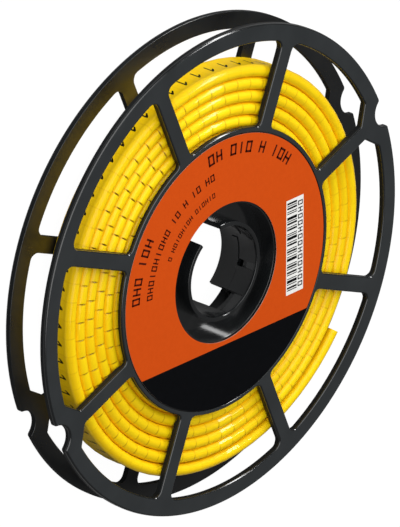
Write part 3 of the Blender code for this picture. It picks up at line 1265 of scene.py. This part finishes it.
@dataclass
class PrintedLabel:
    """The label disc in the front moulding, with its printed fields."""

    inner_radius: float = 20.2 * MM
    outer_radius: float = 39.5 * MM
    low: float = 14.80 * MM
    high: float = 14.95 * MM
    print_proud: float = 0.015 * MM
    chord_from_axis: float = 21.56 * MM
    chord_direction: float = 246.5
    panel_radius: float = 27.7 * MM
    panel_angle: float = -25.0
    panel_direction: float = 67.5
    panel_length: float = 28.7 * MM
    panel_width: float = 7.0 * MM
    bar_module: float = 0.29 * MM
    stroke_share: float = 0.18
    mark_width: float = 0.72
    mark_pitch: float = 0.95
    group_gap: float = 0.8
    mark_kinds: tuple[int, ...] = (0, 2, 0, 1, 0, 2, 1)
    rows: tuple[tuple, ...] = (
        (35.6 * MM, 152.0, 3.0 * MM, (3, 3)),
        (35.7 * MM, 77.0, 3.3 * MM, (2, 3, 1, 3)),
        (30.3 * MM, 152.0, 2.15 * MM, (10, 2, 1, 2, 2)),
        (25.0 * MM, 130.0, 1.5 * MM, (1, 8, 6)),
    )
    panel_margin: float = 1.2 * MM
    panel_foot: float = 2.3 * MM
    panel_edge: float = 0.35 * MM
    bar_widths: tuple[int, ...] = (1, 2, 1, 3, 1, 1, 2)
    bar_gaps: tuple[int, ...] = (1, 2, 1, 1, 3)
    panel_marks: int = 13
    panel_mark_kinds: tuple[int, ...] = (0, 0, 2)
    panel_mark: tuple[float, float] = (1.4 * MM, 1.9 * MM)
    panel_mark_pitch: float = 2.05 * MM

    def build_disc(self) -> BMesh:
        """Makes the disc and marks its black segment and its cut edges.

        Returns:
            The disc, with material index 1 in the segment and 2 on the edges.
        """
        bm = bmesh.new()
        corners = [
            (self.inner_radius, self.low),
            (self.outer_radius, self.low),
            (self.outer_radius, self.high),
            (self.inner_radius, self.high),
        ]
        loop = [bm.verts.new((radius, 0.0, height)) for radius, height in corners]
        edges = [bm.edges.new((loop[i - 1], loop[i])) for i in range(4)]
        spin_upright(bm, loop + edges, FULL_TURN, ROUND_STEPS, merge=True)
        normal = Vector((*polar(1.0, self.chord_direction), 0.0))
        bmesh.ops.bisect_plane(
            bm, geom=everything(bm), dist=WELD,
            plane_co=normal * self.chord_from_axis, plane_no=normal,
        )
        bmesh.ops.recalc_face_normals(bm, faces=bm.faces)
        for face in bm.faces:
            beyond = face.calc_center_median().dot(normal) > self.chord_from_axis
            cut_edge = abs(face.normal.z) < 0.5
            face.material_index = 2 if cut_edge else int(beyond)
        return bm

    def add_patch(self, bm: BMesh, size: Vector, place: Matrix, index: int) -> None:
        """Adds a flat printed rectangle.

        Args:
            bm: Mesh of all the printing.
            size: Length and width of the patch.
            place: Where its middle lies and how it is turned.
            index: Its material index.
        """
        scale = Matrix.Diagonal((size.x, size.y, 1.0, 1.0))
        made = bmesh.ops.create_grid(bm, x_segments=1, y_segments=1, size=0.5, matrix=place @ scale)
        for face in {face for vertex in made["verts"] for face in vertex.link_faces}:
            face.material_index = index

    def on_label(self, place: Vector, degrees: float, layer: int) -> Matrix:
        """Returns the place of a patch on the label, in a printing layer."""
        height = self.high + layer * self.print_proud
        return Matrix.Translation((*place, height)) @ Matrix.Rotation(math.radians(degrees), 4, "Z")

    def print_panel(self, bm: BMesh) -> None:
        """Prints the white panel with plain bars over most of it.

        Args:
            bm: Mesh of all the printing.
        """
        centre = polar(self.panel_radius, self.panel_angle)
        along = polar(1.0, self.panel_direction)
        across = polar(1.0, self.panel_direction - 90)
        size = Vector((self.panel_length, self.panel_width))
        self.add_patch(bm, size, self.on_label(centre, self.panel_direction, 1), 0)
        edge = self.panel_edge
        bar_height = self.panel_width - self.panel_foot - 2 * edge
        bar_middle = across * (edge + bar_height / 2 - self.panel_width / 2)
        at = self.panel_margin - self.panel_length / 2
        index = 0
        while at < self.panel_length / 2 - self.panel_margin:
            width = self.bar_widths[index % len(self.bar_widths)] * self.bar_module
            middle = centre + along * (at + width / 2) + bar_middle
            patch = Vector((width, bar_height))
            self.add_patch(bm, patch, self.on_label(middle, self.panel_direction, 2), 1)
            at += width + self.bar_gaps[index % len(self.bar_gaps)] * self.bar_module
            index += 1
        size = Vector(self.panel_mark)
        line = centre + across * (self.panel_width / 2 - edge - size.y / 2)
        for place in range(self.panel_marks):
            middle = line + along * ((place - self.panel_marks // 2) * self.panel_mark_pitch)
            kind = self.panel_mark_kinds[place % len(self.panel_mark_kinds)]
            self.print_mark(bm, middle, self.panel_direction, size, kind, 1)

    def print_mark(
        self, bm: BMesh, middle: Vector, degrees: float, size: Vector, kind: int, index: int = 2
    ) -> None:
        """Prints one plain mark of a row: an open frame, or one or two bars.

        Args:
            bm: Mesh of all the printing.
            middle: Middle of the mark.
            degrees: Direction of its width.
            size: Its width and height.
            kind: 0 for a frame, 1 for one bar and 2 for two bars.
            index: Its material index.
        """
        stroke = size.y * self.stroke_share
        side, top = (size.x - stroke) / 2, (size.y - stroke) / 2
        upright, level = Vector((stroke, size.y)), Vector((size.x, stroke))
        parts = {
            0: [(-side, 0.0, upright), (side, 0.0, upright), (0.0, top, level), (0.0, -top, level)],
            1: [(0.0, 0.0, upright)],
            2: [(-side, 0.0, upright), (side, 0.0, upright), (0.0, 0.0, level)],
        }
        along, up = polar(1.0, degrees), polar(1.0, degrees + 90)
        for right, rise, patch in parts[kind]:
            place = middle + along * right + up * rise
            self.add_patch(bm, patch, self.on_label(place, degrees, 2), index)

    def print_row(
        self, bm: BMesh, radius: float, start: float, height: float, groups: tuple[int, ...]
    ) -> None:
        """Prints a curved row of plain marks.

        Args:
            bm: Mesh of all the printing.
            radius: Radius of the row's middle.
            start: Angle where the row begins, in degrees.
            height: Height of the marks.
            groups: Number of marks between one gap and the next.
        """
        step = math.degrees(height * self.mark_pitch / radius)
        angle, index = start, 0
        for marks in groups:
            for _ in range(marks):
                kind = self.mark_kinds[index % len(self.mark_kinds)]
                size = Vector((height * self.mark_width, height))
                self.print_mark(bm, polar(radius, angle), angle - 90, size, kind)
                angle -= step
                index += 1
            angle -= step * self.group_gap

    def build_printing(self) -> BMesh:
        """Makes all that is printed over the label's ground.

        Returns:
            Flat patches, with index 0 white, 1 black and 2 brown.
        """
        bm = bmesh.new()
        self.print_panel(bm)
        for row in self.rows:
            self.print_row(bm, *row)
        return bm

    def dress(self) -> list[bpy.types.Object]:
        """Makes the finished disc and its printing.

        Returns:
            The disc and the printing.
        """
        inks = (Ink.ORANGE, Ink.BLACK, Ink.BROWN, Ink.WHITE, Ink.PAPER)
        orange, black, brown, white, paper = (PrintedCoating(ink).material() for ink in inks)
        made = [
            finished_piece("label_disc", self.build_disc(), [orange, black, paper]),
            finished_piece("label_printing", self.build_printing(), [white, black, brown]),
        ]
        for piece in made:
            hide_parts("label")
            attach(piece, "root")
        return made


@dataclass
class Studio:
    """The pale floor, the soft lights and the camera."""

    floor_size: float = 6.0
    floor_drop: float = 0.02 * MM
    floor_grey: str = "#8C8C8C"
    floor_roughness: float = 0.9
    floor_glow: float = 1.3
    glow_share: float = 0.75
    sky_level: float = 0.10
    roll: float = 68.48
    tilt: float = 51.68
    spin: float = -34.8
    focal_pixels: float = 5000.0
    frame_width: float = 400.0
    frame_height: float = 527.0
    film_width: float = 36.0
    far_clip: float = 20.0
    distance: float = 1.3629
    centre_x: float = 206.37
    centre_y: float = 264.65

    def turn(self) -> Matrix:
        """Returns the turn from the reel's frame to the camera's."""
        roll = Matrix.Rotation(math.radians(self.roll), 3, "Z")
        tilt = Matrix.Rotation(math.radians(self.tilt), 3, "X")
        return roll @ tilt @ Matrix.Rotation(math.radians(self.spin), 3, "Z")

    def add_camera(self) -> None:
        """Adds the camera at the photograph's place."""
        data = bpy.data.cameras.new("camera")
        data.sensor_width = self.film_width
        data.lens = self.focal_pixels * data.sensor_width / self.frame_height
        data.clip_end = self.far_clip
        scale = self.distance / self.focal_pixels
        right = (self.centre_x - self.frame_width / 2) * scale
        down = (self.centre_y - self.frame_height / 2) * scale
        centre = Vector((right, -down, -self.distance))
        back = self.turn().transposed()
        place = Vector((0.0, 0.0, MIDDLE)) - back @ centre
        camera = bpy.data.objects.new("camera", data)
        camera.matrix_world = Matrix.Translation(place) @ back.to_4x4()
        bpy.context.scene.collection.objects.link(camera)
        bpy.context.scene.camera = camera

    def add_floor(self) -> None:
        """Adds the floor, white to the camera apart from a soft shadow."""
        bm = bmesh.new()
        bmesh.ops.create_grid(bm, x_segments=1, y_segments=1, size=self.floor_size / 2)
        bmesh.ops.translate(bm, verts=bm.verts, vec=(0, 0, -self.floor_drop))
        made, shader = new_surface("white_paper", {"Roughness": self.floor_roughness})
        shader.inputs["Base Color"].default_value = linear(self.floor_grey)
        tree = made.node_tree
        path = add_node(tree, "LightPath").outputs
        share = add_node(
            tree, "Math", {0: path["Is Camera Ray"], 1: self.glow_share}, operation="MULTIPLY"
        )
        glow = add_node(tree, "Emission", {"Color": (1, 1, 1, 1), "Strength": self.floor_glow})
        mix = add_node(
            tree,
            "MixShader",
            {0: share.outputs[0], 1: shader.outputs[0], 2: glow.outputs[0]},
        )
        tree.links.new(mix.outputs[0], tree.nodes["Material Output"].inputs["Surface"])
        floor = finished_piece("floor", bm, [made])
        floor.modifiers.clear()

    def add_world(self) -> None:
        """Sets an even pale sky, white to the camera."""
        world = bpy.data.worlds.new("studio")
        world.use_nodes = True
        bpy.context.scene.world = world
        tree = world.node_tree
        sky = tree.nodes["Background"]
        sky.inputs["Color"].default_value = (1, 1, 1, 1)
        path = add_node(tree, "LightPath").outputs
        level = add_node(
            tree,
            "MapRange",
            {"Value": path["Is Camera Ray"], "To Min": self.sky_level, "To Max": 1.0},
        )
        tree.links.new(level.outputs["Result"], sky.inputs["Strength"])

    def add_light(
        self,
        name: str,
        azimuth: float,
        height: float,
        sides: tuple[float, float],
        power: float,
        lean: float = 0.0,
        mirrored: bool = True,
    ) -> None:
        """Adds a soft light that faces the reel from a metre away.

        Args:
            name: Name of the light.
            azimuth: Its direction round the reel's axis, in degrees.
            height: Its angle over the floor, in degrees.
            sides: Its width and its height.
            power: Its power in watts.
            lean: Angle that its top leans away from upright, in degrees.
            mirrored: Whether glossy surfaces show it.
        """
        rise = math.radians(height)
        away = Vector((*polar(math.cos(rise), azimuth), math.sin(rise)))
        data = bpy.data.lights.new(name, "AREA")
        data.shape = "RECTANGLE"
        data.size, data.size_y = sides
        data.energy = power
        light = bpy.data.objects.new(name, data)
        facing = away.to_track_quat("Z", "Y").to_matrix().to_4x4()
        facing = facing @ Matrix.Rotation(math.radians(lean), 4, "Z")
        light.matrix_world = Matrix.Translation(away) @ facing
        light.visible_glossy = mirrored
        bpy.context.scene.collection.objects.link(light)

    def add_lights(self) -> None:
        """Adds a high softbox, a low one at the left and a tall strip at the right."""
        self.add_light("high_softbox", 115.0, 62.0, (1.6, 1.0), 8.8)
        self.add_light("low_left_softbox", 92.0, 14.0, (1.3, 0.48), 7.4, mirrored=False)
        self.add_light("right_strip_light", 21.6, 29.7, (0.12, 1.0), 6.4, lean=28.0)

    def build(self) -> None:
        """Builds the whole studio and sets the plain view transform."""
        self.add_camera()
        self.add_floor()
        self.add_world()
        self.add_lights()
        bpy.context.scene.view_settings.view_transform = "Standard"


def report(pieces: list[bpy.types.Object]) -> None:
    """Logs the size of each piece.

    Args:
        pieces: The pieces that were just built.
    """
    for piece in pieces:
        log.info("%s: %d faces", piece.name, len(piece.data.polygons))


def main() -> None:
    """Builds the reel piece by piece, in the studio."""
    logging.basicConfig(level=logging.INFO, format="%(name)s: %(message)s")
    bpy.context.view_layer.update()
    Studio().build()
    # All materials but the outer faces' have a darker base as painted shade
    finishes_and_shades = [surface.value.material() for surface in Surface]
    for side in Side:
        report([ReelHalf(side).dress(finishes_and_shades)])
    marking = PrintedCoating(Ink.MARKING).material()
    report(MarkerStrip().dress(SoftVinyl().material(), marking))
    report(PrintedLabel().dress())


if __name__ == "__main__":
    main()
